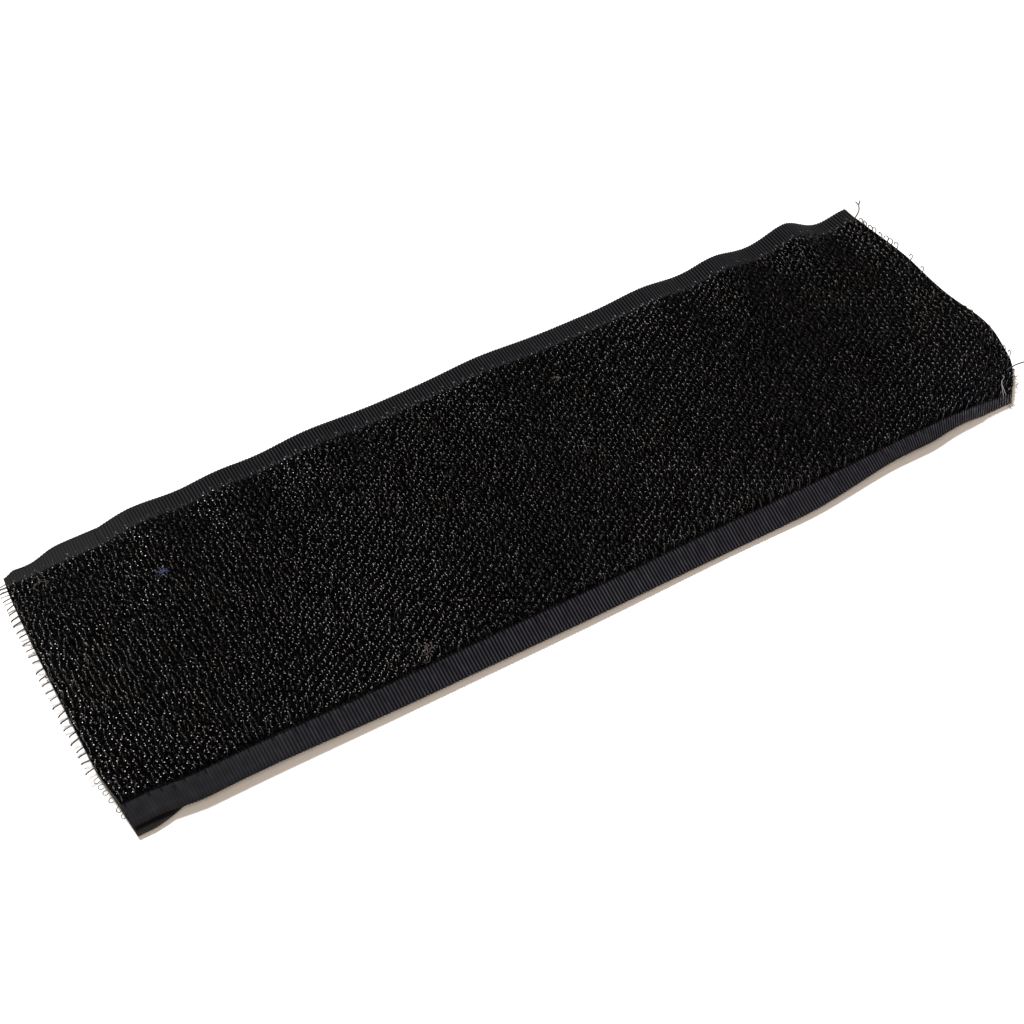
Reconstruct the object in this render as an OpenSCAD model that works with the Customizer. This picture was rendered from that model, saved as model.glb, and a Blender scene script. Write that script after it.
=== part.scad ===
// Tourniquet band: woven hook tape bonded back to back with loop tape, laid flat, hooks up.
// Millimetres. +X runs along the band, +Y across it and +Z up from the table.
// The origin is the middle of the band's footprint, on the table.
//
// Every ply of the real band is one continuous length of cloth. Here each ply is cut into
// panels, and the panels turn on hinge lines across the band, so that the band can be wrapped.
// Panel 1 is at the left end (-X) and panel 15 at the right end (+X).

/* [Band] */
// Length of the band from cut end to cut end
band_l = 150; // [120:3:240]
// Width of the band over its two selvedges
band_w = 50; // [38:1:75]
// Width of the plain woven selvedge beside the hooks
selvedge_w = 3.5; // [2:0.1:6]
// How far the loop tape stands back from the edges of the hook tape
loop_inset = 2; // [0.5:0.1:4]

/* [Plies] */
// Thickness of the loop tape, from the crowns of its loops to its ground cloth
loop_tape_t = 1.35; // [0.9:0.05:2]
// Thickness of the adhesive film between the two tapes
bond_film_t = 0.2; // [0.1:0.05:0.4]
// Thickness of the cloth that carries the hooks
hook_cloth_t = 0.5; // [0.35:0.05:0.8]
// Height of the hooks above their cloth
hook_pile_t = 1.3; // [0.9:0.05:1.8]

/* [Wrapping] */
// Bend at each hinge line on the left of the middle panel, whose end tucks inside, in degrees
left_bend = 31; // [10:1:31]
// Bend at each hinge line on the right of the middle panel, whose end laps over, in degrees
right_bend = 26; // [10:1:26]

/* [Hidden] */
// Panels along the band, with the middle one as the root that the others hang from
PANELS = 15;
MIDDLE = 8;
PLIES = ["loop_tape", "bond_film", "hook_cloth", "hook_pile"];

panel_l = band_l / PANELS;
// Heights where the plies meet, from the table up
bond_film_z = loop_tape_t;
hook_cloth_z = bond_film_z + bond_film_t;
hook_pile_z = hook_cloth_z + hook_cloth_t;
top_z = hook_pile_z + hook_pile_t;
// The hinge axes lie along Y, in the middle of the adhesive film, which hardly stretches
hinge_z = bond_film_z + bond_film_t / 2;
// Half of the gap left at a hinge axis, and the spare angle on each bevelled end
hinge_gap = 0.05;
spare_bend = 1;
// The film carries the pull, so its panels are hinged to each other: a round roll along one
// panel's end turns in a groove along the next one's. A thin web joins the roll to its panel.
roll_r = 0.45 * bond_film_t;
groove_r = 0.55 * bond_film_t;
web_t = 0.5 * bond_film_t;
// How far a cutting shape runs past what it cuts
over = 1;
hook_w = band_w - 2 * selvedge_w;
loop_w = band_w - 2 * loop_inset;

// Place along X of the hinge line at the left of a panel
function line_x(panel) = (panel - 1) * panel_l - band_l / 2;

// How far a panel's end stands back from its hinge line at height z.
// The ends slope away from the axis, so they only meet past the limit of the bend.
function stand_back(z, bend) = hinge_gap + abs(z - hinge_z) * tan(bend / 2 + spare_bend);

// The cut ends of the band are square. All the other ends are bevelled.
function left_x(panel, z) =
    panel == 1 ? line_x(1)
    : line_x(panel) + stand_back(z, panel <= MIDDLE ? left_bend : right_bend);
function right_x(panel, z) =
    panel == PANELS ? line_x(PANELS + 1)
    : line_x(panel + 1) - stand_back(z, panel < MIDDLE ? left_bend : right_bend);

// One panel of one ply, between two heights and of a given width
module ply_panel(panel, low_z, high_z, width) {
    crosses_axis = low_z < hinge_z && high_z > hinge_z;
    heights = crosses_axis ? [low_z, hinge_z, high_z] : [low_z, high_z];
    last = len(heights) - 1;
    outline = [
        for (k = [0 : last]) [right_x(panel, heights[k]), heights[k]],
        for (k = [last : -1 : 0]) [left_x(panel, heights[k]), heights[k]]
    ];
    translate([0, width / 2, 0])
        rotate([90, 0, 0])
            linear_extrude(height = width)
                polygon(outline);
}

// Knitted tape whose brushed loops face the limb and take the hooks of the other end
module loop_tape(panel) {
    color("dimgray") ply_panel(panel, 0, bond_film_z, loop_w);
}

// A round bar along the hinge line at the left of a panel
module hinge_bar(panel, radius, width) {
    translate([line_x(panel), width / 2, hinge_z])
        rotate([90, 0, 0])
            cylinder(h = width, r = radius, $fn = 48);
}

// The web that carries the roll at the right end of a panel, from inside the film to the axis
module roll_web(panel) {
    web_l = 2 * groove_r + hinge_gap;
    translate([line_x(panel + 1) - web_l, -loop_w / 2, hinge_z - web_t / 2])
        cube([web_l, loop_w, web_t]);
}

// Adhesive film that holds the two tapes back to back
module bond_film(panel) {
    color("gray") {
        union() {
            difference() {
                ply_panel(panel, bond_film_z, hook_cloth_z, loop_w);
                if (panel > 1) hinge_bar(panel, groove_r, loop_w + over);
            }
            if (panel < PANELS) {
                hinge_bar(panel + 1, roll_r, loop_w);
                roll_web(panel);
            }
        }
    }
}

// Woven cloth with its two plain selvedges, which the hooks grow from
module hook_cloth(panel) {
    color([0.16, 0.16, 0.18]) ply_panel(panel, hook_cloth_z, hook_pile_z, band_w);
}

// The field of hooks, as high as their crowns
module hook_pile(panel) {
    color([0.07, 0.07, 0.08]) ply_panel(panel, hook_pile_z, top_z, hook_w);
}

for (panel = [1 : PANELS]) {
    loop_tape(panel);
    bond_film(panel);
    hook_cloth(panel);
    hook_pile(panel);
}
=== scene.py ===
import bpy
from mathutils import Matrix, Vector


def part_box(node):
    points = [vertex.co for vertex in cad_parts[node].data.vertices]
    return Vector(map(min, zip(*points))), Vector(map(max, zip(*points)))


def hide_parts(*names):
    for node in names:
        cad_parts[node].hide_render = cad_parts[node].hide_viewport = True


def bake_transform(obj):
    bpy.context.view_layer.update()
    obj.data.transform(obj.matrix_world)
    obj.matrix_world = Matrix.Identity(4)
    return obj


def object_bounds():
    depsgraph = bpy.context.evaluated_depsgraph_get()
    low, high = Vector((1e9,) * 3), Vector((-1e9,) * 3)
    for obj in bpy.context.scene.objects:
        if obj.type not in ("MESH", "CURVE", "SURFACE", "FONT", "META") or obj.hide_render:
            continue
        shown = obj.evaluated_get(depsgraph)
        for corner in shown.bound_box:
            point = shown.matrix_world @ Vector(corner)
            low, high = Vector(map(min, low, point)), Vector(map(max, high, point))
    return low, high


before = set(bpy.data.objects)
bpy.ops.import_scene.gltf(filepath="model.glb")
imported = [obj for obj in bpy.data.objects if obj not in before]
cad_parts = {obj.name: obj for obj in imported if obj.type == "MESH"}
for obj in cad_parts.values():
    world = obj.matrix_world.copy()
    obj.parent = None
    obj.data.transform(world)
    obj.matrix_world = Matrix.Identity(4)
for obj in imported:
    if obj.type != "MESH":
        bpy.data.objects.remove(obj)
cad_low, cad_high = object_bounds()

# %% [markdown]
# ## Measures
#
# Lengths below are worked out in millimetres, because a weaver thinks in them, and turned into
# metres when a mesh is finished. The band's outer sizes and the heights where its plies meet
# come from the frame, so the looks and the construction can't drift apart. The rib pitch is a
# plausible one for a 50 mm woven tape. The two hook pitches are not counts: they were chosen so
# that the glints of the field look right, and a real tape may well have fewer hooks.
# %% Measures
import math

import bmesh
import bpy
import numpy as np
from mathutils import Matrix, Vector

MM = 0.001
PANELS = sum(name.startswith("hook_cloth_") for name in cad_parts)


def node_box_mm(node):
    """The lowest and highest corner of a node of the frame, in millimetres."""
    low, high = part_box(node)
    return low / MM, high / MM


hooks_low, hooks_high = node_box_mm("hook_pile_8")
cloth_low, cloth_high = node_box_mm("hook_cloth_8")
film_low, film_high = node_box_mm("bond_film_8")
loops_low, loops_high = node_box_mm("loop_tape_8")

band_l = (cad_high.x - cad_low.x) / MM
half_l = band_l / 2
panel_l = band_l / PANELS
half_cloth_w = cloth_high.y
half_hooks_w = hooks_high.y
half_loops_w = loops_high.y
cloth_z = cloth_low.z
cloth_t = cloth_high.z - cloth_low.z
crown_z = hooks_high.z
film_z = loops_high.z

RIB_PITCH = 0.5
HOOK_LINE_PITCH = 10 / 12
HOOK_PITCH = 1.015
WALE_PITCH = 1.0
LOOP_PITCH = 0.9
print(f"band {band_l:.0f} x {2 * half_cloth_w:.0f} x {crown_z:.2f} mm, {band_l / RIB_PITCH:.0f} ribs")

# %% [markdown]
# ## Camera, light and table
#
# The band is seen from one end of its near side, about 50 degrees above the table, with a
# short telephoto lens so that the two long edges stay almost parallel. The camera comes first,
# because every later choice of detail depends on how large a thread is in the view.
#
# A large soft key stands behind the band. It skims over the hooks, which glint, and throws the
# thin shadow under the near edge. A broad warm fill in front of the band lightens that shadow
# without a reflection on the crowns of the hooks, and a dim surround does the rest. The view
# transform is the plain one, so the table is white and the black cloth stays black.
# %% Camera
EYE = Vector((-93.6, -163.9, 223.7)) * MM
AIM = Vector((-6.05, -3.55, 1.5)) * MM
ROLL = math.radians(-1.3)
LENS = 69.85

camera_data = bpy.data.cameras.new("camera")
camera_data.lens = LENS
camera_data.sensor_width = 36
camera_data.clip_start = 0.01
camera = bpy.data.objects.new("camera", camera_data)
bpy.context.scene.collection.objects.link(camera)
camera.location = EYE
camera.rotation_mode = "QUATERNION"
turn = (AIM - EYE).to_track_quat("-Z", "Y").to_matrix() @ Matrix.Rotation(ROLL, 3, "Z")
camera.rotation_quaternion = turn.to_quaternion()
bpy.context.scene.camera = camera
print(f"camera {(AIM - EYE).length / MM:.0f} mm from the band")

# %% Light and table
KEY_ELEVATION = math.radians(52)
KEY_STRENGTH = 5.0
FILL_ELEVATION = math.radians(48)
FILL_STRENGTH = 1.7
SURROUND_STRENGTH = 0.16


def sun(name, azimuth, elevation, strength, spread, colour):
    """A distant lamp. Azimuth 0 shines from +Y towards -Y, and 90 from +X towards -X."""
    lamp = bpy.data.lights.new(name, "SUN")
    lamp.energy = strength
    lamp.angle = spread
    lamp.color = colour
    holder = bpy.data.objects.new(name, lamp)
    bpy.context.scene.collection.objects.link(holder)
    flat = math.cos(elevation)
    source = Vector((math.sin(azimuth) * flat, math.cos(azimuth) * flat, math.sin(elevation)))
    holder.rotation_mode = "QUATERNION"
    holder.rotation_quaternion = source.to_track_quat("Z", "Y")
    return holder


sun("key", math.radians(-4), KEY_ELEVATION, KEY_STRENGTH, math.radians(12), (1.0, 1.0, 1.0))
sun("fill", math.radians(200), FILL_ELEVATION, FILL_STRENGTH, math.radians(70), (1.0, 0.82, 0.67))

world = bpy.data.worlds.new("surround")
bpy.context.scene.world = world
world.use_nodes = True
surround = world.node_tree.nodes["Background"]
surround.inputs["Color"].default_value = (1.0, 0.95, 0.9, 1)
surround.inputs["Strength"].default_value = SURROUND_STRENGTH

bpy.context.scene.view_settings.view_transform = "Standard"
bpy.context.scene.view_settings.look = "None"

TABLE_SIDE = 3.0
table_mesh = bpy.data.meshes.new("table")
table_bm = bmesh.new()
bmesh.ops.create_grid(table_bm, x_segments=1, y_segments=1, size=TABLE_SIDE / 2)
table_bm.to_mesh(table_mesh)
table_bm.free()
table = bpy.data.objects.new("table", table_mesh)
bpy.context.scene.collection.objects.link(table)
table.location.z = cad_low.z
print("two lamps, a surround and a table")

# %% [markdown]
# ## Finishes
#
# Every finish is a small node tree. The patterns read the UV map that each piece carries, which
# holds the flat cloth's own measures in millimetres, so a thread keeps its size and its place
# when the band is bent. A shade that changes from hook to hook is stored on the mesh as a number
# between 0 and 1 and coloured by a ramp.
# %% Helpers for the finishes
UV_NAME = "flat_mm"
SHADE_NAME = "shade"


def new_finish(name, roughness, **sockets):
    """A material with one Principled shader, and its constants set on the shader's sockets."""
    material = bpy.data.materials.new(name)
    material.use_nodes = True
    shader = material.node_tree.nodes["Principled BSDF"]
    shader.inputs["Roughness"].default_value = roughness
    for socket, value in sockets.items():
        shader.inputs[socket.replace("_", " ")].default_value = value
    return material, material.node_tree, shader


def node(tree, kind, **settings):
    """A new node with some of its settings and input values filled in."""
    made = tree.nodes.new(kind)
    for key, value in settings.items():
        if key in made.inputs:
            made.inputs[key].default_value = value
        else:
            setattr(made, key, value)
    return made


def ramp(tree, source, stops):
    """A colour ramp over a list of (place, grey or colour) stops."""
    made = tree.nodes.new("ShaderNodeValToRGB")
    elements = made.color_ramp.elements
    while len(elements) < len(stops):
        elements.new(0.5)
    for element, (place, colour) in zip(elements, stops):
        element.position = place
        element.color = (*colour, 1)
    tree.links.new(source, made.inputs["Fac"])
    return made.outputs["Color"]


def flat_noise(tree, scale, detail=2.0, stretch=(1, 1, 1)):
    """Noise over the flat cloth. A scale of 1 gives patches of about a millimetre."""
    place = node(tree, "ShaderNodeUVMap", uv_map=UV_NAME)
    mapping = node(tree, "ShaderNodeMapping", Scale=stretch)
    noise = node(tree, "ShaderNodeTexNoise", Scale=scale, Detail=detail)
    tree.links.new(place.outputs["UV"], mapping.inputs["Vector"])
    tree.links.new(mapping.outputs["Vector"], noise.inputs["Vector"])
    return noise.outputs["Fac"]


def multiply(tree, first, second):
    """Two colours multiplied."""
    mix = node(tree, "ShaderNodeMix", data_type="RGBA", blend_type="MULTIPLY")
    mix.inputs[0].default_value = 1
    colours = [socket for socket in mix.inputs if socket.type == "RGBA"]
    tree.links.new(first, colours[0])
    tree.links.new(second, colours[1])
    return next(socket for socket in mix.outputs if socket.type == "RGBA")


def flat_axes(tree):
    """The place on the flat cloth as a vector, and its parts along and across the band."""
    place = node(tree, "ShaderNodeUVMap", uv_map=UV_NAME)
    split = node(tree, "ShaderNodeSeparateXYZ")
    tree.links.new(place.outputs["UV"], split.inputs["Vector"])
    return place.outputs["UV"], split.outputs["X"], split.outputs["Y"]


def between(tree, source, start, end, low=0.0, high=1.0, kind="SMOOTHSTEP"):
    """A value that goes from low to high while the source goes from start to end."""
    made = node(tree, "ShaderNodeMapRange", interpolation_type=kind)
    for socket, value in [("From Min", start), ("From Max", end), ("To Min", low), ("To Max", high)]:
        made.inputs[socket].default_value = value
    tree.links.new(source, made.inputs["Value"])
    return made.outputs["Result"]


def calculate(tree, operation, *terms):
    """One step of arithmetic. Each term is a number or the output of another node."""
    step = node(tree, "ShaderNodeMath", operation=operation)
    for socket, term in zip(step.inputs, terms):
        if isinstance(term, (int, float)):
            socket.default_value = term
        else:
            tree.links.new(term, socket)
    return step.outputs["Value"]


def add_bump(tree, shader, height, strength, distance_mm):
    """Raises the finish by a height pattern, measured in millimetres."""
    bump = node(tree, "ShaderNodeBump", Strength=strength, Distance=distance_mm * MM)
    tree.links.new(height, bump.inputs["Height"])
    tree.links.new(bump.outputs["Normal"], shader.inputs["Normal"])


# %% [markdown]
# ### Hook monofilament
#
# Drawn nylon is glossy, so the crown of each hook shows a small highlight. It is a little softer
# towards the right. The colour isn't even: some patches of hooks lean to blue and some to red.
# %% Hook monofilament
LEFT_ROUGHNESS = 0.34
RIGHT_ROUGHNESS = 0.42
SCUFF_START, SCUFF_END = -72, 40


def hook_finish():
    material, tree, shader = new_finish("hook_monofilament", LEFT_ROUGHNESS, Specular_IOR_Level=0.9)
    patches = ramp(tree, flat_noise(tree, 0.16), [
        (0.34, (0.0004, 0.0008, 0.0058)),
        (0.50, (0.0005, 0.0006, 0.0018)),
        (0.68, (0.0036, 0.0007, 0.0010)),
    ])
    shade = node(tree, "ShaderNodeAttribute", attribute_name=SHADE_NAME)
    lighten = ramp(tree, shade.outputs["Fac"], [(0.0, (0.5, 0.5, 0.5)), (1.0, (1.6, 1.6, 1.6))])
    tree.links.new(multiply(tree, patches, lighten), shader.inputs["Base Color"])
    _, along, _ = flat_axes(tree)
    scuffed = between(
        tree, along, SCUFF_START, SCUFF_END, LEFT_ROUGHNESS, RIGHT_ROUGHNESS, kind="LINEAR")
    tree.links.new(scuffed, shader.inputs["Roughness"])
    return material


HOOK_FINISH = hook_finish()
print("finish:", HOOK_FINISH.name)

# %% [markdown]
# ### Woven ground
#
# The ground is matt nylon with a faint bluish bloom. The ribs are modelled, and the finish adds
# painted shade in their valleys, painted highlights on their crests, and the warp threads that
# cross them. It paints light along the near side, painted shade along the far side, and a painted
# highlight at the right end of the near side. Between the hooks the finish paints the cloth much
# darker, as painted shade under the hooks; there it is also a little glossier and takes a bump of small
# knots.
# %% Woven ground
FIELD_ROUGHNESS = 0.36
SELVEDGE_ROUGHNESS = 0.6
# Where the painted shade under the hooks fades out towards the selvedges.
FIELD_END = half_hooks_w - 0.35
SELVEDGE_START = half_hooks_w + 0.1
# Where the painted highlight on the near selvedge fades in towards the right end.
HIGHLIGHT_START, HIGHLIGHT_END = half_l - 16, half_l - 6
# Where the painted rib light goes from faint to crisp along the band.
FAINT_RIBS, CRISP_RIBS = -68, -15
WARP_HEIGHT = 0.008


def ground_finish():
    material, tree, shader = new_finish(
        "woven_ground", SELVEDGE_ROUGHNESS, Specular_IOR_Level=0.07)
    bloom = ramp(tree, flat_noise(tree, 0.9, 4.0, (1, 0.5, 1)), [
        (0.30, (0.0046, 0.0046, 0.0062)),
        (0.55, (0.0068, 0.0069, 0.0088)),
        (0.80, (0.0118, 0.0118, 0.0140)),
    ])
    place, along, across = flat_axes(tree)
    selvedge = between(tree, calculate(tree, "ABSOLUTE", across), FIELD_END, SELVEDGE_START)
    dull = ramp(tree, selvedge, [(0.0, (FIELD_ROUGHNESS,) * 3), (1.0, (SELVEDGE_ROUGHNESS,) * 3)])
    tree.links.new(dull, shader.inputs["Roughness"])
    # Painted shade between the hooks: the ground under the hook field is darkened to a fiftieth, while the
    # selvedges keep their colour.
    painted_field_shade = ramp(tree, selvedge, [(0.0, (0.02, 0.02, 0.03)), (1.0, (1, 1, 1))])
    # Painted light along the near side and painted shade along the far side.
    near_to_far = between(tree, across, -half_hooks_w, half_hooks_w)
    painted_side_light = ramp(tree, near_to_far, [(0.0, (1.3, 1.3, 1.3)), (1.0, (0.4, 0.4, 0.42))])
    # A painted highlight on the near selvedge towards the right end.
    highlight_along = between(tree, along, HIGHLIGHT_START, HIGHLIGHT_END)
    near_side = calculate(tree, "LESS_THAN", across, 0.0)
    corner_highlight_mask = calculate(tree, "MULTIPLY", highlight_along, near_side)
    painted_corner_highlight = ramp(tree, corner_highlight_mask, [(0.0, (1, 1, 1)), (1.0, (2.4, 2.4, 2.4))])
    # Painted shade in the rib valleys and painted highlights on the rib crests, faint at the left end.
    turn = calculate(tree, "MULTIPLY", along, 2 * math.pi / RIB_PITCH)
    crispness = between(tree, along, FAINT_RIBS, CRISP_RIBS, -0.03, -0.5, kind="LINEAR")
    crest = calculate(tree, "MULTIPLY_ADD", calculate(tree, "COSINE", turn), crispness, 0.5)
    painted_rib_light = ramp(tree, crest, [
        (0.0, (0.02, 0.02, 0.02)),
        (0.5, (0.70, 0.70, 0.70)),
        (1.0, (3.4, 3.4, 3.5)),
    ])
    # The bloom, multiplied by the painted shade, the painted highlights and the painted side light.
    bloom_and_painted_light = multiply(tree, multiply(tree, bloom, painted_field_shade), painted_corner_highlight)
    bloom_and_painted_light = multiply(tree, bloom_and_painted_light, painted_rib_light)
    tree.links.new(multiply(tree, bloom_and_painted_light, painted_side_light), shader.inputs["Base Color"])
    warp = node(tree, "ShaderNodeTexWave", Scale=0.9, Distortion=2.5, bands_direction="Y")
    tree.links.new(place, warp.inputs["Vector"])
    thin_warp = calculate(tree, "MULTIPLY", warp.outputs["Fac"], WARP_HEIGHT)
    knots = node(tree, "ShaderNodeTexVoronoi", Scale=2.1, Randomness=0.8)
    tree.links.new(place, knots.inputs["Vector"])
    height = node(tree, "ShaderNodeMix", data_type="FLOAT")
    tree.links.new(selvedge, height.inputs[0])
    tree.links.new(knots.outputs["Distance"], height.inputs[2])
    tree.links.new(thin_warp, height.inputs[3])
    add_bump(tree, shader, height.outputs[0], 1.0, 0.7)
    return material


GROUND_FINISH = ground_finish()
print("finish:", GROUND_FINISH.name)

# %% [markdown]
# ### Adhesive film
#
# The glue is a thin film, almost black. It only shows as a dull line at the cut ends and in the
# step under the selvedges.
# %% Adhesive film
def film_finish():
    material, tree, shader = new_finish("adhesive_film", 0.6, Specular_IOR_Level=0.12)
    colour = ramp(tree, flat_noise(tree, 0.5, 3.0), [
        (0.3, (0.0018, 0.0016, 0.0016)),
        (0.7, (0.0040, 0.0036, 0.0034)),
    ])
    tree.links.new(colour, shader.inputs["Base Color"])
    add_bump(tree, shader, flat_noise(tree, 2.2, 3.0), 0.3, 0.05)
    return material


FILM_FINISH = film_finish()
print("finish:", FILM_FINISH.name)

# %% [markdown]
# ### Loop yarn
#
# The loops are fine crimped filaments, so the backing is much softer and duller than the hooks
# and takes a sheen at grazing angles.
# %% Loop yarn
def loop_finish():
    material, tree, shader = new_finish("loop_tape", 0.85, Sheen_Weight=0.12, Sheen_Roughness=0.5,
        Specular_IOR_Level=0.2)
    colour = ramp(tree, flat_noise(tree, 0.25, 4.0), [
        (0.32, (0.0036, 0.0035, 0.0040)),
        (0.55, (0.0060, 0.0059, 0.0064)),
        (0.80, (0.0105, 0.0100, 0.0100)),
    ])
    tree.links.new(colour, shader.inputs["Base Color"])
    add_bump(tree, shader, flat_noise(tree, 7.0, 2.0, (1, 0.3, 1)), 0.4, 0.04)
    return material


LOOP_FINISH = loop_finish()
print("finish:", LOOP_FINISH.name)

# %% [markdown]
# ### Loose fibres and the table
#
# Used hooks collect lint. Each kind of fibre gets one soft matt finish, with its colour varied
# by noise along its length. The table is a plain off-white sheet.
# %% Loose fibres and the table
def fibre_finish(name, dark, light):
    material, tree, shader = new_finish(name, 0.7, Sheen_Weight=0.3)
    place = node(tree, "ShaderNodeTexCoord")
    noise = node(tree, "ShaderNodeTexNoise", Scale=1500.0, Detail=2.0)
    tree.links.new(place.outputs["Object"], noise.inputs["Vector"])
    colour = ramp(tree, noise.outputs["Fac"], [(0.35, dark), (0.65, light)])
    tree.links.new(colour, shader.inputs["Base Color"])
    return material


BLACK_FIBRE = fibre_finish("black_yarn", (0.004, 0.004, 0.005), (0.014, 0.014, 0.017))
PALE_FIBRE = fibre_finish("pale_fibre", (0.10, 0.10, 0.10), (0.30, 0.30, 0.31))
BLUE_FIBRE = fibre_finish("blue_fibre", (0.002, 0.012, 0.07), (0.006, 0.035, 0.20))
BROWN_FIBRE = fibre_finish("brown_fibre", (0.020, 0.010, 0.006), (0.075, 0.040, 0.026))

table_material, table_tree, table_shader = new_finish("table_top", 0.9)
table_place = node(table_tree, "ShaderNodeTexCoord")
table_noise = node(table_tree, "ShaderNodeTexNoise", Scale=6.0, Detail=1.0)
table_tree.links.new(table_place.outputs["Object"], table_noise.inputs["Vector"])
table_colour = ramp(
    table_tree, table_noise.outputs["Fac"], [(0.3, (0.86, 0.86, 0.86)), (0.7, (0.9, 0.9, 0.9))])
table_tree.links.new(table_colour, table_shader.inputs["Base Color"])
table_mesh.materials.append(table_material)
print("finishes:", len(bpy.data.materials))

# %% [markdown]
# ## How the band lies
#
# A band that has been worn isn't flat. The far edge ripples, the near selvedge droops beyond the
# loop tape, the corners are pressed down or curled, and one cut end has bowed. Cloth this thick
# hardly stretches, so all of that is smooth.
#
# Every ripple and curl has its own known place, so the shape isn't simulated. It is written as
# one function of the flat place of a point. Every ply goes through it, which keeps hooks rooted
# in their cloth and the plies in contact. Where the band sinks, the loops under it are pressed
# flatter instead of passing through the table.
# %% The lay of the band
def ease(t):
    """A smooth step from 0 to 1."""
    t = np.clip(t, 0.0, 1.0)
    return t * t * (3.0 - 2.0 * t)


def swell(x, centre, reach):
    """A smooth hump of height 1."""
    return np.exp(-(((x - centre) / reach) ** 2))


ROLL_START = 21.3
ROLL_REACH = 1.3
FLARE = 3.0
FLARE_PRESSED = 0.45
LEAST_LOOP_HEIGHT = 0.06


def far_ripple(x):
    """How high the far edge stands, in millimetres: a slow wave, and a shorter one at the ends."""
    slow = 0.32 * np.cos(2 * math.pi * (x - 4) / 29)
    short = 0.38 * np.cos(4 * math.pi * (x - 4) / 29) * np.clip((x / 45) ** 2, 0.15, 1)
    level = 0.1 + 0.6 * ease((x + 45) / 50)
    corners = -1.5 * ease((-x - 54) / 14) - 0.9 * ease((x - 62) / 8)
    peak = 0.9 * swell(x, half_l - 1, 3.5)
    crests = 0.7 * swell(x, 47, 5) + 0.8 * swell(x, 63, 4) - 0.9 * swell(x, -56, 8)
    return level + slow + short + corners + peak + crests


def near_droop(x):
    """How far the near selvedge hangs, in millimetres below its flat height."""
    lifts = 0.40 * swell(x, -57, 22) + 0.38 * swell(x, 54, 12) - 0.2 * swell(x, 20, 12)
    corners = -0.1 * ease((-x - 64) / 11) + 0.3 * ease((x - 63) / 9)
    return 1.0 - lifts + corners


def near_pull(x):
    """How far the near edge is drawn in, in millimetres."""
    return (
        0.35 * swell(x, -56, 14)
        - 0.3 * ease((-x + 20) / 30)
        + 0.6 * ease((x - 28) / 26)
        - 0.4 * ease((x - 60) / 8)
        + 0.8 * ease((-x - 64) / 8)
    )


def near_roll(x):
    """How far the near selvedge is rolled down and under, from 0 to 1."""
    return 0.5 * ease((x - 30) / 20) + 0.5 * ease((x - 56) / 12)


def rolled(y):
    """Where a place across the band comes to lie if its selvedge is rolled fully down."""
    past = np.clip(-y - ROLL_START, 0, None)
    return np.where(past > 0, -ROLL_START - ROLL_REACH * (1 - np.exp(-past / ROLL_REACH)), y)


def corner_flare(x):
    """How far the loop tape peeps out under the near selvedge at the left corner."""
    return FLARE * ease((-x - 62) / 11)


def right_bow(y):
    """How far the right-hand cut bows out of square, in millimetres."""
    return 1.55 * swell(y, -8, 6.3) - 2.4 * ease((y - 8) / 17) - 6.2 * ease((-y - 15) / 11)


def lay(flat):
    """Moves points of the flat band, in millimetres, to where they lie on the table."""
    x, y, z = flat.T
    far = ease((y - 6) / (half_cloth_w - 6))
    near_rim = ease((-y - 21.0) / 4.0)
    far_rim = ease((y - 20.0) / 5.0)
    rise = far * far_ripple(x) - near_rim * near_droop(x)
    rise = rise + 0.10 * np.sin(x / 7.0 + 1.0) * np.sin(y / 9.0)
    rise = rise - 1.0 * ease((x - 66) / 9) * ease((-y - 10) / 10)
    rise = np.maximum(rise, LEAST_LOOP_HEIGHT - film_z)
    sink = np.clip(z / film_z, 0.0, 1.0)
    lifted_z = np.where(rise > 0, z + rise, z + rise * sink)
    below_cloth = (z < cloth_z - 0.02) & (x > -half_l - 0.02)
    moved_y = y + near_roll(x) * (rolled(y) - y)
    moved_y = moved_y + np.clip(-y / half_cloth_w, 0, 1) * near_pull(x)
    flare = np.where(below_cloth, corner_flare(x) * ease((-y - 17) / 6), 0)
    moved_y = moved_y - flare
    lifted_z = lifted_z * (1 - FLARE_PRESSED * np.clip(flare / FLARE, 0, 1))
    far_pull = 1.0 * ease((-x - 66) / 9) + 0.8 * swell(x, -70.5, 3) + 0.8 * ease((x - 62) / 12)
    moved_y = moved_y - far_rim * (far_pull + 0.9 * ease((-x - 73) / 2))
    left_bow = 0.8 * np.clip(y / half_cloth_w, 0, 1) ** 2 + 1.2 * ease((-y - 14) / 11)
    left_bow = left_bow * ease((-x - 50) / 25)
    moved_x = x + ease((x - 40) / 35) * right_bow(moved_y) + left_bow
    return np.stack([moved_x, moved_y, lifted_z], axis=1)


SAMPLES = 61
edge_line = np.stack([
    np.linspace(-half_l, half_l, SAMPLES),
    np.full(SAMPLES, half_cloth_w),
    np.full(SAMPLES, cloth_z),
], 1)
edge_z = lay(edge_line)[:, 2]
print(f"far edge underside from {edge_z.min():.2f} to {edge_z.max():.2f} mm")

# %% [markdown]
# ## From flat patterns to finished pieces
#
# The band has fourteen hinge lines, so each ply is cut into fourteen pieces. A piece runs
# from the middle of one panel to the middle of the next, across the hinge line between them.
# The first and last pieces also take the half panels at the two ends.
# %% Helpers for the pieces
STRIPS = range(1, PANELS)


def mid_x(panel):
    """The middle of a panel along the band, in millimetres."""
    return -half_l + (panel - 0.5) * panel_l


def strip_span(strip):
    """Where a strip starts and ends along the band, in millimetres."""
    start = -half_l if strip == 1 else mid_x(strip)
    end = half_l if strip == PANELS - 1 else mid_x(strip + 1)
    return start, end


def panels_of(strip):
    """The panels whose frame nodes a strip stands for."""
    return [strip, PANELS] if strip == PANELS - 1 else [strip]


def follow(piece):
    """Bakes a piece's placement into its mesh."""
    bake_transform(piece)


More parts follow.
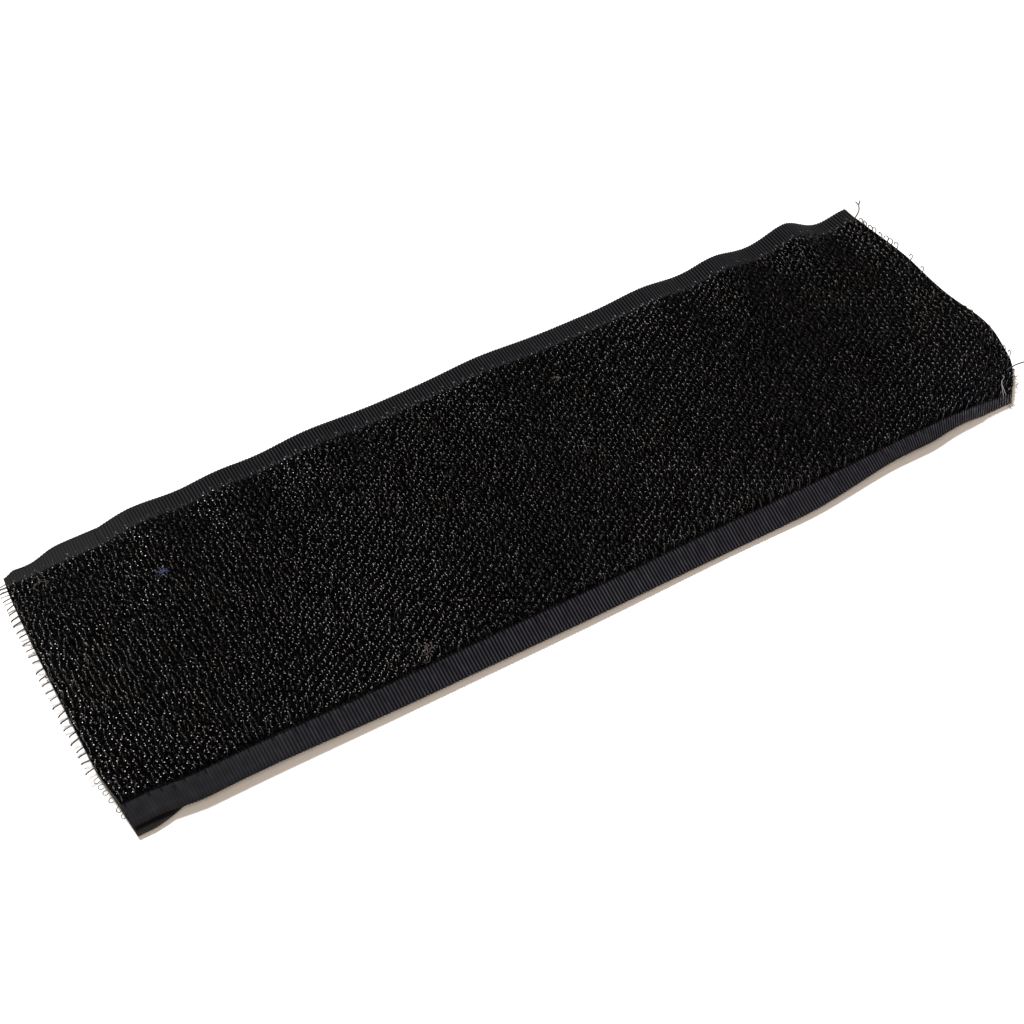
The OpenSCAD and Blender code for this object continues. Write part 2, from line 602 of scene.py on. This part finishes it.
def points_of(mesh):
    """A mesh's vertices as an array."""
    points = np.empty(len(mesh.vertices) * 3)
    mesh.vertices.foreach_get("co", points)
    return points.reshape(-1, 3)


def mesh_from(bm, name):
    """A mesh from a bmesh, with its faces pointing outwards."""
    bmesh.ops.recalc_face_normals(bm, faces=bm.faces)
    mesh = bpy.data.meshes.new(name)
    bm.to_mesh(mesh)
    bm.free()
    return mesh


def finish_piece(mesh, name, flat, material, shade=None, smooth_below=50):
    """Lays a flat piece on the table and gives it its UV map, shade, shading and finish."""
    uv = mesh.uv_layers.new(name=UV_NAME)
    corners = np.empty(len(mesh.loops), np.int32)
    mesh.loops.foreach_get("vertex_index", corners)
    uv.data.foreach_set("uv", flat[corners, :2].astype(np.float32).ravel())
    if shade is not None:
        attribute = mesh.attributes.new(SHADE_NAME, "FLOAT", "POINT")
        attribute.data.foreach_set("value", shade.astype(np.float32))
    mesh.vertices.foreach_set("co", (lay(flat) * MM).astype(np.float32).ravel())
    mesh.materials.append(material)
    mesh.shade_smooth()
    mesh.set_sharp_from_angle(angle=math.radians(smooth_below))
    mesh.update()
    piece = bpy.data.objects.new(name, mesh)
    bpy.context.scene.collection.objects.link(piece)
    return piece


print("strips:", len(STRIPS))


# %% [markdown]
# ## Woven ground cloth
#
# A hook tape's ground is a firm rib weave: each weft thread runs straight across the tape and
# the warp wraps over it, so the surface is a row of narrow rounded ribs. A flat grid, extruded
# to a thin slab, has its two faces moved to the rib profile. Six columns to a rib are enough for
# a round crest and a sharp valley, which a bump in the finish couldn't show at the edge, where
# each weft turns back and leaves a tiny scallop.
# %% Woven ground cloth
RIB_COLUMNS = 6
CLOTH_ROWS = 44
RIB_DEPTH = 0.6
SCALLOP = 0.09
SELVEDGE_ROUND = 0.24
rib_size = np.random.default_rng(11).normal(1.0, 0.06, int(band_l / RIB_PITCH) + 2)


def slab(columns, rows):
    """A closed unit slab: a grid from -0.5 to 0.5, with its copy one unit below it."""
    bm = bmesh.new()
    bmesh.ops.create_grid(bm, x_segments=columns, y_segments=rows, size=0.5)
    made = bmesh.ops.extrude_face_region(bm, geom=bm.faces[:])
    lower = [item for item in made["geom"] if isinstance(item, bmesh.types.BMVert)]
    bmesh.ops.translate(bm, verts=lower, vec=(0, 0, -1))
    return bm


def rib_at(x):
    """The rib profile along the band, from 0 in a valley to 1 on a crest."""
    place = (x + half_l) / RIB_PITCH
    return np.abs(np.sin(math.pi * place)) ** 0.75 * rib_size[np.floor(place + 1e-6).astype(int)]


def rib_depth_at(x, y):
    """How deep the ribs are: full in the selvedges, shallow under the hooks, worn at the left."""
    selvedge = ease((np.abs(y) - half_hooks_w + 0.8) / 1.2)
    worn = 0.25 + 0.75 * ease((x + 72) / 50)
    return RIB_DEPTH * (0.3 + 0.7 * selvedge) * worn


def ground_cloth(strip):
    start, end = strip_span(strip)
    columns = round((end - start) / RIB_PITCH) * RIB_COLUMNS
    mesh = mesh_from(slab(columns, CLOTH_ROWS), f"woven_cloth_{strip:02d}")
    unit = points_of(mesh)
    x = start + (unit[:, 0] + 0.5) * (end - start)
    side = 2 * unit[:, 1]
    crowded = 0.35 * side + 0.65 * np.sin(side * math.pi / 2)
    rib = rib_at(x)
    past = np.abs(crowded) * half_cloth_w - half_cloth_w + SELVEDGE_ROUND
    rounding = np.clip(past / SELVEDGE_ROUND, 0, 1)
    y = crowded * half_cloth_w - np.sign(crowded) * rounding * SCALLOP * (1 - rib)
    half_t = cloth_t / 2 * (1 - rib_depth_at(x, y) * (1 - rib)) * np.sqrt(1 - 0.9 * rounding**2)
    z = cloth_z + cloth_t / 2 + np.where(unit[:, 2] > -0.5, half_t, -half_t)
    flat = np.stack([x, y, z], axis=1)
    piece = finish_piece(mesh, mesh.name, flat, GROUND_FINISH)
    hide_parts(*[f"hook_cloth_{panel}" for panel in panels_of(strip)])
    return piece


cloth_pieces = {strip: ground_cloth(strip) for strip in STRIPS}
print("woven cloth:", sum(len(piece.data.polygons) for piece in cloth_pieces.values()), "faces")

# %% [markdown]
# ## Hooks
#
# The hooks start life as loops of monofilament woven into the ground over rods. A blade then
# cuts one leg of each loop, which leaves a tall crook and a short stub. The loops stand across
# the tape, in lines that are shifted by half a pitch from one to the next.
#
# One hook is drawn with a small pentagon: extruded up the stem, spun over the crown and cut off
# short of the stub. Two hooks make one repeat of the field, which two Array modifiers lay
# out. The arrays are then applied, so that every hook can be turned, leaned and resized a
# little on its own. Neighbouring hooks lean alike, because whatever pressed them pressed a patch.
# %% One hook
WIRE_R = 0.078
CROOK_R = 0.26
CROOK_SWEEP = math.radians(205)
CROOK_STEPS = 6
ROOT_DEPTH = 0.12
STUB_H = 0.34
WIRE_SIDES = 5


def extrude_up(bm, face, height):
    """Extrudes a face upwards and returns the new end face."""
    made = bmesh.ops.extrude_face_region(bm, geom=[face])
    fresh = [item for item in made["geom"] if isinstance(item, bmesh.types.BMVert)]
    bmesh.ops.translate(bm, verts=fresh, vec=(0, 0, height))
    return next(item for item in made["geom"] if isinstance(item, bmesh.types.BMFace))


def wire_start(bm, place):
    """A small pentagon, where a wire comes out of the cloth."""
    made = bmesh.ops.create_circle(
        bm, cap_ends=True, segments=WIRE_SIDES, radius=WIRE_R, matrix=Matrix.Translation(place))
    return made["verts"][0].link_faces[0]


def add_hook(bm, x, y, height):
    """A crook and a stub. The stem is on the near side and the tip points down on the far side."""
    stem_y = y - CROOK_R
    stem_h = height - CROOK_R - WIRE_R
    stem_end = extrude_up(bm, wire_start(bm, (x, stem_y, -ROOT_DEPTH)), stem_h + ROOT_DEPTH)
    bmesh.ops.spin(
        bm, geom=[stem_end, *stem_end.edges, *stem_end.verts], cent=(x, y, stem_h),
        axis=(1, 0, 0), angle=-CROOK_SWEEP, steps=CROOK_STEPS)
    extrude_up(bm, wire_start(bm, (x, y + CROOK_R, -ROOT_DEPTH)), STUB_H + ROOT_DEPTH)


def hook_repeat():
    """The two hooks of one repeat, standing on z = 0."""
    bm = bmesh.new()
    height = crown_z - cloth_z - cloth_t
    add_hook(bm, 0, 0, height)
    add_hook(bm, HOOK_LINE_PITCH, HOOK_PITCH / 2, height)
    return mesh_from(bm, "hook_repeat")


hook_pair = hook_repeat()
pair_points = len(hook_pair.vertices)
print("one hook:", len(hook_pair.polygons) // 2, "faces,", pair_points // 2, "points")

# %% The field of hooks
field_noise = np.random.default_rng(23)
wave_turns = field_noise.uniform(0, 2 * math.pi, (3, 5))
wave_reach = field_noise.uniform(3.0, 14.0, (3, 5))
wave_heading = field_noise.uniform(0, math.pi, (3, 5))


def patchy(kind, x, y):
    """Slow smooth noise over the band, about -1 to 1. Each kind has its own pattern."""
    total = np.zeros_like(x)
    for turn_at, reach, heading in zip(wave_turns[kind], wave_reach[kind], wave_heading[kind]):
        along = x * math.cos(heading) + y * math.sin(heading)
        total += np.sin(along / reach + turn_at)
    return total / 2.5


def arrayed(mesh, name, steps):
    """The mesh repeated along X and Y by Array modifiers: steps is [(count, axis, pitch), ...]."""
    holder = bpy.data.objects.new(name, mesh)
    bpy.context.scene.collection.objects.link(holder)
    for count, axis, pitch in steps:
        array = holder.modifiers.new("repeat", "ARRAY")
        array.use_relative_offset = False
        array.use_constant_offset = True
        array.count = count
        array.constant_offset_displace = [pitch if index == axis else 0 for index in range(3)]
    evaluated = holder.evaluated_get(bpy.context.evaluated_depsgraph_get())
    made = bpy.data.meshes.new_from_object(evaluated)
    made.name = name
    bpy.data.objects.remove(holder)
    return made


def disturb(points, roots, rng, turn, lean, size, patch=0.0):
    """Turns, leans and resizes each upright thing about its root. points is (things, points, 3)."""
    things = len(roots)
    yaw = rng.normal(0, turn, things)
    lean_x = rng.normal(0, lean, things) + patch * patchy(0, roots[:, 0], roots[:, 1])
    lean_y = rng.normal(0, lean, things) + patch * patchy(1, roots[:, 0], roots[:, 1])
    scale = np.clip(rng.normal(1.0 - size, size, things), 1 - 3 * size, 1.0)
    local = (points - roots[:, None]) * scale[:, None, None]
    c, s = np.cos(yaw)[:, None], np.sin(yaw)[:, None]
    x = local[..., 0] * c - local[..., 1] * s
    y = local[..., 0] * s + local[..., 1] * c
    z = local[..., 2]
    x, z = x + z * np.sin(lean_x)[:, None], z * np.cos(lean_x)[:, None]
    y, z = y + z * np.sin(lean_y)[:, None], z * np.cos(lean_y)[:, None]
    return np.stack([x, y, z], axis=2) + roots[:, None]


def without(mesh, kept):
    """The mesh with only its kept vertices, in the same order."""
    bm = bmesh.new()
    bm.from_mesh(mesh)
    bmesh.ops.delete(bm, geom=[v for v, keep in zip(bm.verts, kept) if not keep], context="VERTS")
    bm.to_mesh(mesh)
    bm.free()
    return mesh


END_MARGIN = 0.5
ROOT_SINK = 0.03


def hook_field(strip):
    start, end = strip_span(strip)
    lines = round((end - start) / (2 * HOOK_LINE_PITCH))
    across = round((2 * half_hooks_w - HOOK_PITCH / 2) / HOOK_PITCH)
    name = f"hooks_{strip:02d}"
    mesh = arrayed(hook_pair, name, [(across, 1, HOOK_PITCH), (lines, 0, 2 * HOOK_LINE_PITCH)])
    rng = np.random.default_rng(100 + strip)
    per_hook = pair_points // 2
    points = points_of(mesh).reshape(-1, per_hook, 3)
    span = (across - 1) * HOOK_PITCH + HOOK_PITCH / 2
    points = points + np.array([start + HOOK_LINE_PITCH / 2, 0.1 - span / 2, cloth_z + cloth_t - ROOT_SINK])
    roots = points.mean(axis=1)
    roots[:, 2] = cloth_z + cloth_t - ROOT_SINK
    points = disturb(points, roots, rng, turn=0.38, lean=0.14, size=0.03, patch=0.16)
    points[..., :2] += rng.normal(0, 0.05, (len(roots), 1, 2))
    trodden = 0.12 * ease(0.3 + patchy(2, roots[:, 0], roots[:, 1])) * ease((-roots[:, 0] - 48) / 20)
    points[..., 2] -= (points[..., 2] - roots[:, None, 2]) * trodden[:, None]
    shade = np.repeat(rng.uniform(0, 1, len(roots)), per_hook)
    kept = roots[:, 0] < half_l - END_MARGIN
    points, shade = points[kept], shade.reshape(-1, per_hook)[kept].ravel()
    mesh = without(mesh, np.repeat(kept, per_hook))
    piece = finish_piece(
        mesh, name, points.reshape(-1, 3), HOOK_FINISH, shade, 75)
    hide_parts(*[f"hook_pile_{panel}" for panel in panels_of(strip)])
    return piece, int(kept.sum())


hook_pieces, hook_counts = {}, []
for strip in STRIPS:
    hook_pieces[strip], count = hook_field(strip)
    hook_counts.append(count)
print("hooks:", sum(hook_counts), "in", len(hook_pieces), "pieces")

# %% [markdown]
# ## Adhesive film
#
# The film joins the two tapes. It is a plain thin slab whose edges wander a little where the
# glue was squeezed out, so a coarse grid is enough.
# %% Adhesive film
FILM_ROWS = 46


def adhesive(strip):
    start, end = strip_span(strip)
    mesh = mesh_from(slab(2 * round(end - start), FILM_ROWS), f"adhesive_{strip:02d}")
    unit = points_of(mesh)
    x = start + (unit[:, 0] + 0.5) * (end - start)
    wander = 0.12 * np.sin(x * 1.7) + 0.08 * np.sin(x * 0.61 + 2)
    y = 2 * unit[:, 1] * (half_loops_w - 0.15 + wander)
    overlap = 0.05
    z = np.where(unit[:, 2] > -0.5, cloth_z + overlap, film_z - overlap)
    flat = np.stack([x, y, z], axis=1)
    piece = finish_piece(mesh, mesh.name, flat, FILM_FINISH)
    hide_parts(*[f"bond_film_{panel}" for panel in panels_of(strip)])
    return piece


film_pieces = {strip: adhesive(strip) for strip in STRIPS}
print("adhesive film:", len(film_pieces), "pieces")

# %% [markdown]
# ## Loop tape
#
# The backing is warp knitted. Its ground is a row of wales, thin ridges that run along the band,
# crossed by courses, and each stitch throws one soft loop out of the underside. The ground is
# the same kind of slab as the woven cloth with a knitted profile. The loops are one bent tube of
# a few dozen faces, repeated by arrays and then turned every way, because they are brushed after
# knitting.
# %% Knitted ground
KNIT_T = 0.36
KNIT_DEPTH = 0.12


def knitted_ground(strip):
    start, end = strip_span(strip)
    columns = round((end - start) / WALE_PITCH) * 5
    rows = round(2 * half_loops_w / WALE_PITCH) * 2
    mesh = mesh_from(slab(columns, rows), f"knit_tape_{strip:02d}")
    unit = points_of(mesh)
    x = start + (unit[:, 0] + 0.5) * (end - start)
    y = 2 * unit[:, 1] * half_loops_w
    wale = np.abs(np.cos(math.pi * y / WALE_PITCH))
    course = 0.5 + 0.5 * np.cos(2 * math.pi * x / WALE_PITCH + math.pi * np.round(y / WALE_PITCH))
    depth = KNIT_DEPTH * (1 - wale * (0.6 + 0.4 * course))
    z = np.where(unit[:, 2] > -0.5, film_z - 0.02, film_z - KNIT_T + depth)
    flat = np.stack([x, y, z], axis=1)
    piece = finish_piece(mesh, mesh.name, flat, LOOP_FINISH)
    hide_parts(*[f"loop_tape_{panel}" for panel in panels_of(strip)])
    return piece


knit_pieces = {strip: knitted_ground(strip) for strip in STRIPS}
print("knitted ground:", len(knit_pieces), "pieces")

# %% Loop pile
YARN_R = 0.06
STRAY_YARN_R = 0.12
LOOP_R = 0.36


def one_loop():
    """A closed-ended yarn arch that hangs from z = 0 down to the table."""
    bm = bmesh.new()
    made = bmesh.ops.create_circle(
        bm, cap_ends=True, segments=4, radius=YARN_R, matrix=Matrix.Translation((-LOOP_R, 0, 0)))
    face = made["verts"][0].link_faces[0]
    bmesh.ops.spin(
        bm, geom=[face, *face.edges, *face.verts], cent=(0, 0, 0),
        axis=(0, 1, 0), angle=math.radians(-200), steps=6)
    stretch = (film_z - KNIT_T + 0.1) / (LOOP_R + YARN_R)
    bmesh.ops.scale(bm, verts=bm.verts, vec=(1, 1, stretch))
    return mesh_from(bm, "one_loop")


loop_shape = one_loop()


def loop_pile(strip):
    start, end = strip_span(strip)
    along = int((end - start) / LOOP_PITCH)
    across = int((2 * half_loops_w - 0.4) / LOOP_PITCH)
    name = f"loops_{strip:02d}"
    mesh = arrayed(loop_shape, name, [(across, 1, LOOP_PITCH), (along, 0, (end - start) / along)])
    rng = np.random.default_rng(300 + strip)
    points = points_of(mesh).reshape(-1, len(loop_shape.vertices), 3)
    root_z = film_z - KNIT_T + 0.1
    first = np.array([start + (end - start) / along / 2, -(across - 1) * LOOP_PITCH / 2, root_z])
    points = points + first
    roots = points.mean(axis=1)
    roots[:, 2] = root_z
    points = disturb(points, roots, rng, turn=1.4, lean=0.28, size=0.06)
    points[..., :2] += rng.normal(0, 0.16, (len(roots), 1, 2))
    points[..., 2] = np.maximum(points[..., 2], 0.005)
    inner = half_loops_w - 0.1
    points[..., 1] = np.clip(points[..., 1], -inner, inner)
    piece = finish_piece(mesh, name, points.reshape(-1, 3), LOOP_FINISH, None, 80)
    return piece, len(roots)


loop_pieces, loop_counts = {}, []
for strip in STRIPS:
    loop_pieces[strip], count = loop_pile(strip)
    loop_counts.append(count)
print("loops:", sum(loop_counts), "with", len(loop_shape.polygons), "faces each")

# %% [markdown]
# ## The two cut ends
#
# The tape was cut with shears between two lines of hooks. At the left end the cut freed the
# last line, whose hooks now lie out flat past the edge like a comb, and curl near one corner. At
# the right end part of the last line still stands, and its thin crooks show one by one against
# the table. Each of the three kinds is one hook, whose copies are placed by their own matrices.
# %% The two cut ends
def copies_of(shape, name, places):
    """One mesh with a copy of the shape at each place, which is a 4 x 4 matrix in millimetres."""
    bm = bmesh.new()
    for place in places:
        before = len(bm.verts)
        bm.from_mesh(shape)
        bm.verts.ensure_lookup_table()
        bmesh.ops.transform(bm, matrix=place, verts=bm.verts[before:])
    return mesh_from(bm, name)


def end_hook(name, height, wire_r, crook_r, sweep):
    """A single free hook that stands on z = 0."""
    bm = bmesh.new()
    made = bmesh.ops.create_circle(
        bm, cap_ends=True, segments=WIRE_SIDES, radius=wire_r,
        matrix=Matrix.Translation((0, -crook_r, -0.3)))
    stem_h = height - crook_r - wire_r
    stem_end = extrude_up(bm, made["verts"][0].link_faces[0], stem_h + 0.3)
    bmesh.ops.spin(
        bm, geom=[stem_end, *stem_end.edges, *stem_end.verts], cent=(0, 0, stem_h),
        axis=(1, 0, 0), angle=-sweep, steps=CROOK_STEPS)
    return mesh_from(bm, name)


def placed(x, y, z, tilt, yaw, size):
    """A matrix that tilts about the tape's width, turns about the upright and moves."""
    turned = Matrix.Rotation(yaw, 4, "Z") @ Matrix.Rotation(tilt, 4, "Y")
    return Matrix.Translation((x, y, z)) @ turned @ Matrix.Scale(size, 4)


COMB_PITCH = 1.34
ARC_PITCH = 1.07
comb_rng = np.random.default_rng(41)
comb_hook = end_hook("comb_hook", 1.72, 0.125, 0.62, math.radians(42))
curled_hook = end_hook("curled_hook", 1.15, 0.065, 0.36, math.radians(230))
comb_places, curled_places = [], []
for y in np.arange(-half_cloth_w + 2.2, half_cloth_w - 2.0, COMB_PITCH):
    lie = math.radians(comb_rng.normal(-101, 7))
    yaw = math.pi + math.radians(comb_rng.normal(0, 9))
    size = comb_rng.uniform(0.85, 1.05)
    mirrored = placed(-half_l + 0.1, y + comb_rng.normal(0, 0.1), cloth_z + 0.22, -lie, yaw, size)
    (curled_places if y < -16 else comb_places).append(mirrored)
for name, shape, places in [("end_comb", comb_hook, comb_places),
                            ("end_comb_curls", curled_hook, curled_places)]:
    comb_mesh = copies_of(shape, name, places)
    comb = finish_piece(comb_mesh, name, points_of(comb_mesh), HOOK_FINISH,
                        np.full(len(comb_mesh.vertices), 0.5), 75)
    follow(comb)

arc_rng = np.random.default_rng(43)
arc_hook = end_hook("arc_hook", 1.3, 0.085, 0.38, math.radians(215))
arc_places = []
for y in np.arange(-half_hooks_w + 1.0, half_hooks_w - 0.4, ARC_PITCH):
    if abs(y + 3) < 15 and arc_rng.uniform() < 0.75:
        continue
    tilt = math.radians(arc_rng.normal(14, 9))
    yaw = math.radians(arc_rng.normal(0, 12))
    root_x = half_l - 0.35 + arc_rng.normal(0, 0.1)
    arc_places.append(placed(
        root_x, y + arc_rng.normal(0, 0.12), cloth_z + cloth_t - 0.1, tilt, yaw,
        arc_rng.uniform(0.8, 1.0)))
arc_mesh = copies_of(arc_hook, "end_arcs", arc_places)
arcs = finish_piece(arc_mesh, "end_arcs", points_of(arc_mesh), HOOK_FINISH,
                    np.full(len(arc_mesh.vertices), 0.5), 75)
follow(arcs)
print("comb hooks:", len(comb_places), "- standing arcs:", len(arc_places))

# %% [markdown]
# ## Stray yarns and lint
#
# A few threads have come loose at the right-hand cut, and the hooks have picked up fibres from
# clothes. Each is a curve with a round bevel, turned into a closed mesh. The tufts of lint are
# short random walks just under the crowns, seeded so that they come out the same every time.
# %% Stray yarns and lint
def fibres(name, paths, radius, material):
    """A bundle of thin curved fibres. Each path is a list of points in millimetres."""
    curve = bpy.data.curves.new(name, "CURVE")
    curve.dimensions = "3D"
    curve.bevel_depth = radius * MM
    curve.bevel_resolution = 1
    curve.resolution_u = 5
    curve.use_fill_caps = True
    for path in paths:
        spline = curve.splines.new("NURBS")
        spline.points.add(len(path) - 1)
        for point, place in zip(spline.points, path):
            point.co = (*(Vector(place) * MM), 1)
        spline.order_u = 3
        spline.use_endpoint_u = True
    holder = bpy.data.objects.new(name, curve)
    bpy.context.scene.collection.objects.link(holder)
    mesh = bpy.data.meshes.new_from_object(
        holder.evaluated_get(bpy.context.evaluated_depsgraph_get()))
    bpy.data.objects.remove(holder)
    bm = bmesh.new()
    bm.from_mesh(mesh)
    bmesh.ops.remove_doubles(bm, verts=bm.verts, dist=1e-7)
    bmesh.ops.recalc_face_normals(bm, faces=bm.faces)
    bm.to_mesh(mesh)
    bm.free()
    mesh.materials.clear()
    mesh.materials.append(material)
    mesh.shade_smooth()
    piece = bpy.data.objects.new(name, mesh)
    bpy.context.scene.collection.objects.link(piece)
    follow(piece)
    return piece


def on_band(points):
    """Points given on the flat band, moved to where the band lies."""
    return [tuple(point) for point in lay(np.array(points, float))]


def tuft(rng, x, y, z, reach, count, steps=7):
    """Short random walks round a place on the flat band."""
    paths = []
    for _ in range(count):
        heading = rng.uniform(0, 2 * math.pi)
        place = np.array([x + rng.normal(0, reach / 3), y + rng.normal(0, reach / 3), z])
        path = [place]
        for _ in range(steps):
            heading += rng.normal(0, 1.1)
            step = np.array([math.cos(heading), math.sin(heading), rng.normal(0, 0.12)])
            place = place + step * reach / steps * 1.6
            place[2] = np.clip(place[2], z - 0.35, z + 0.2)
            path.append(place)
        paths.append(on_band(path))
    return paths


far_yarn = [(72.6, 21.6, 2.1), (73.6, 22.1, 2.2), (74.8, 23.0, 2.3), (75.2, 23.9, 2.4)]
fibres("stray_yarn_far", [
    far_yarn,
    [far_yarn[-1], (75.6, 24.1, 2.5), (75.9, 24.5, 2.5)],
    [far_yarn[-1], (75.2, 24.4, 2.4), (75.3, 24.8, 2.3)],
], STRAY_YARN_R, BLACK_FIBRE)
fibres("stray_yarn_near", [
    [(73.0, -17.5, 1.7), (74.3, -17.6, 2.3), (75.2, -17.9, 2.5), (76.2, -18.0, 2.5), (77.5, -17.9, 2.3)],
], STRAY_YARN_R, BLACK_FIBRE)


def curl(x, y, z, radius, turns, points_per_turn=9):
    """A little loop of sprung filament that winds round an axis along the tape's width."""
    count = int(turns * points_per_turn)
    angles = [2 * math.pi * turns * step / count for step in range(count + 1)]
    return [(x + radius * math.sin(a), y - 0.12 * a, z + radius * (1 - math.cos(a))) for a in angles]


fibres("sprung_loops", [
    curl(73.6, -18.9, 1.2, 0.34, 1.1),
    curl(72.8, -20.1, 0.9, 0.30, 1.0),
    [(69.8, -22.0, 0.6), (70.3, -22.5, 0.5), (70.6, -23.0, 0.25)],
    [(69.5, -22.1, 0.5), (69.8, -22.7, 0.4), (69.8, -23.2, 0.15)],
], 0.045, BLACK_FIBRE)
fibres("pale_threads", [
    [(70.6, -19.1, 3.3), (70.7, -19.6, 3.4), (69.8, -19.9, 3.4), (69.3, -20.6, 3.3), (69.3, -21.3, 2.8),
     (69.3, -21.9, 2.2)],
    [(69.4, -20.5, 3.2), (69.0, -21.3, 2.9), (68.8, -22.0, 2.1)],
], 0.055, PALE_FIBRE)

lint_rng = np.random.default_rng(57)
LINT = [
    ("lint_blue", -54.6, 10.7, 0.8, 14, BLUE_FIBRE),
    ("lint_brown", -28.8, -20.1, 1.3, 7, BROWN_FIBRE),
    ("lint_red_brown", 11.9, 14.5, 0.9, 5, BROWN_FIBRE),
    ("lint_dust", -70.2, 19.0, 1.4, 6, BROWN_FIBRE),
]
for name, x, y, reach, count, material in LINT:
    fibres(name, tuft(lint_rng, x, y, crown_z - 0.2, reach, count), 0.03, material)
print("tufts of lint:", len(LINT))

# %% [markdown]
# ## Baking the placement
#
# Each strip of every ply has its placement baked into its mesh.
# %% Bake the plies' placement
for strip in STRIPS:
    plies = [
        cloth_pieces[strip], hook_pieces[strip], film_pieces[strip], knit_pieces[strip],
        loop_pieces[strip],
    ]
    for ply in plies:
        follow(ply)
print("sheets:", 2 * len(STRIPS))
